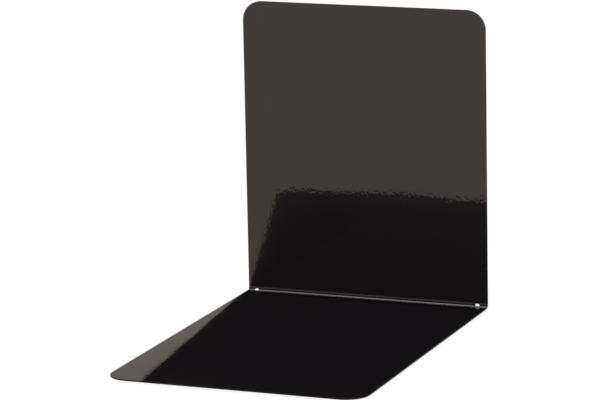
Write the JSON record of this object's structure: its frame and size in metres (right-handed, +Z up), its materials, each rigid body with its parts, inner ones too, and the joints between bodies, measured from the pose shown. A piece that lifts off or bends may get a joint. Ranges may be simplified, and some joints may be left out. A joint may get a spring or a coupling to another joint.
{
  "type": "book end",
  "caption": "Folded sheet-steel book end: an upright back plate and a long flat base with rounded corners, painted gloss black, on stick-on rubber pads.",
  "frame": {"origin": "under the middle of the bounding box, on the shelf surface that the pads stand on", "axes": "+Z up, +Y from the base's front edge towards the upright back plate, +X across the width"},
  "size_m": [0.12, 0.168, 0.141],
  "materials": {
    "black_paint": "gloss black stoved paint on sheet steel, with a slight orange peel",
    "pad_rubber": "matt dark grey rubber"
  },
  "bodies": {
    "root": {"folded_plate": "black_paint", "antislip_pad_front_left": "pad_rubber", "antislip_pad_front_right": "pad_rubber", "antislip_pad_rear_left": "pad_rubber", "antislip_pad_rear_right": "pad_rubber"}
  },
  "joints": []
}
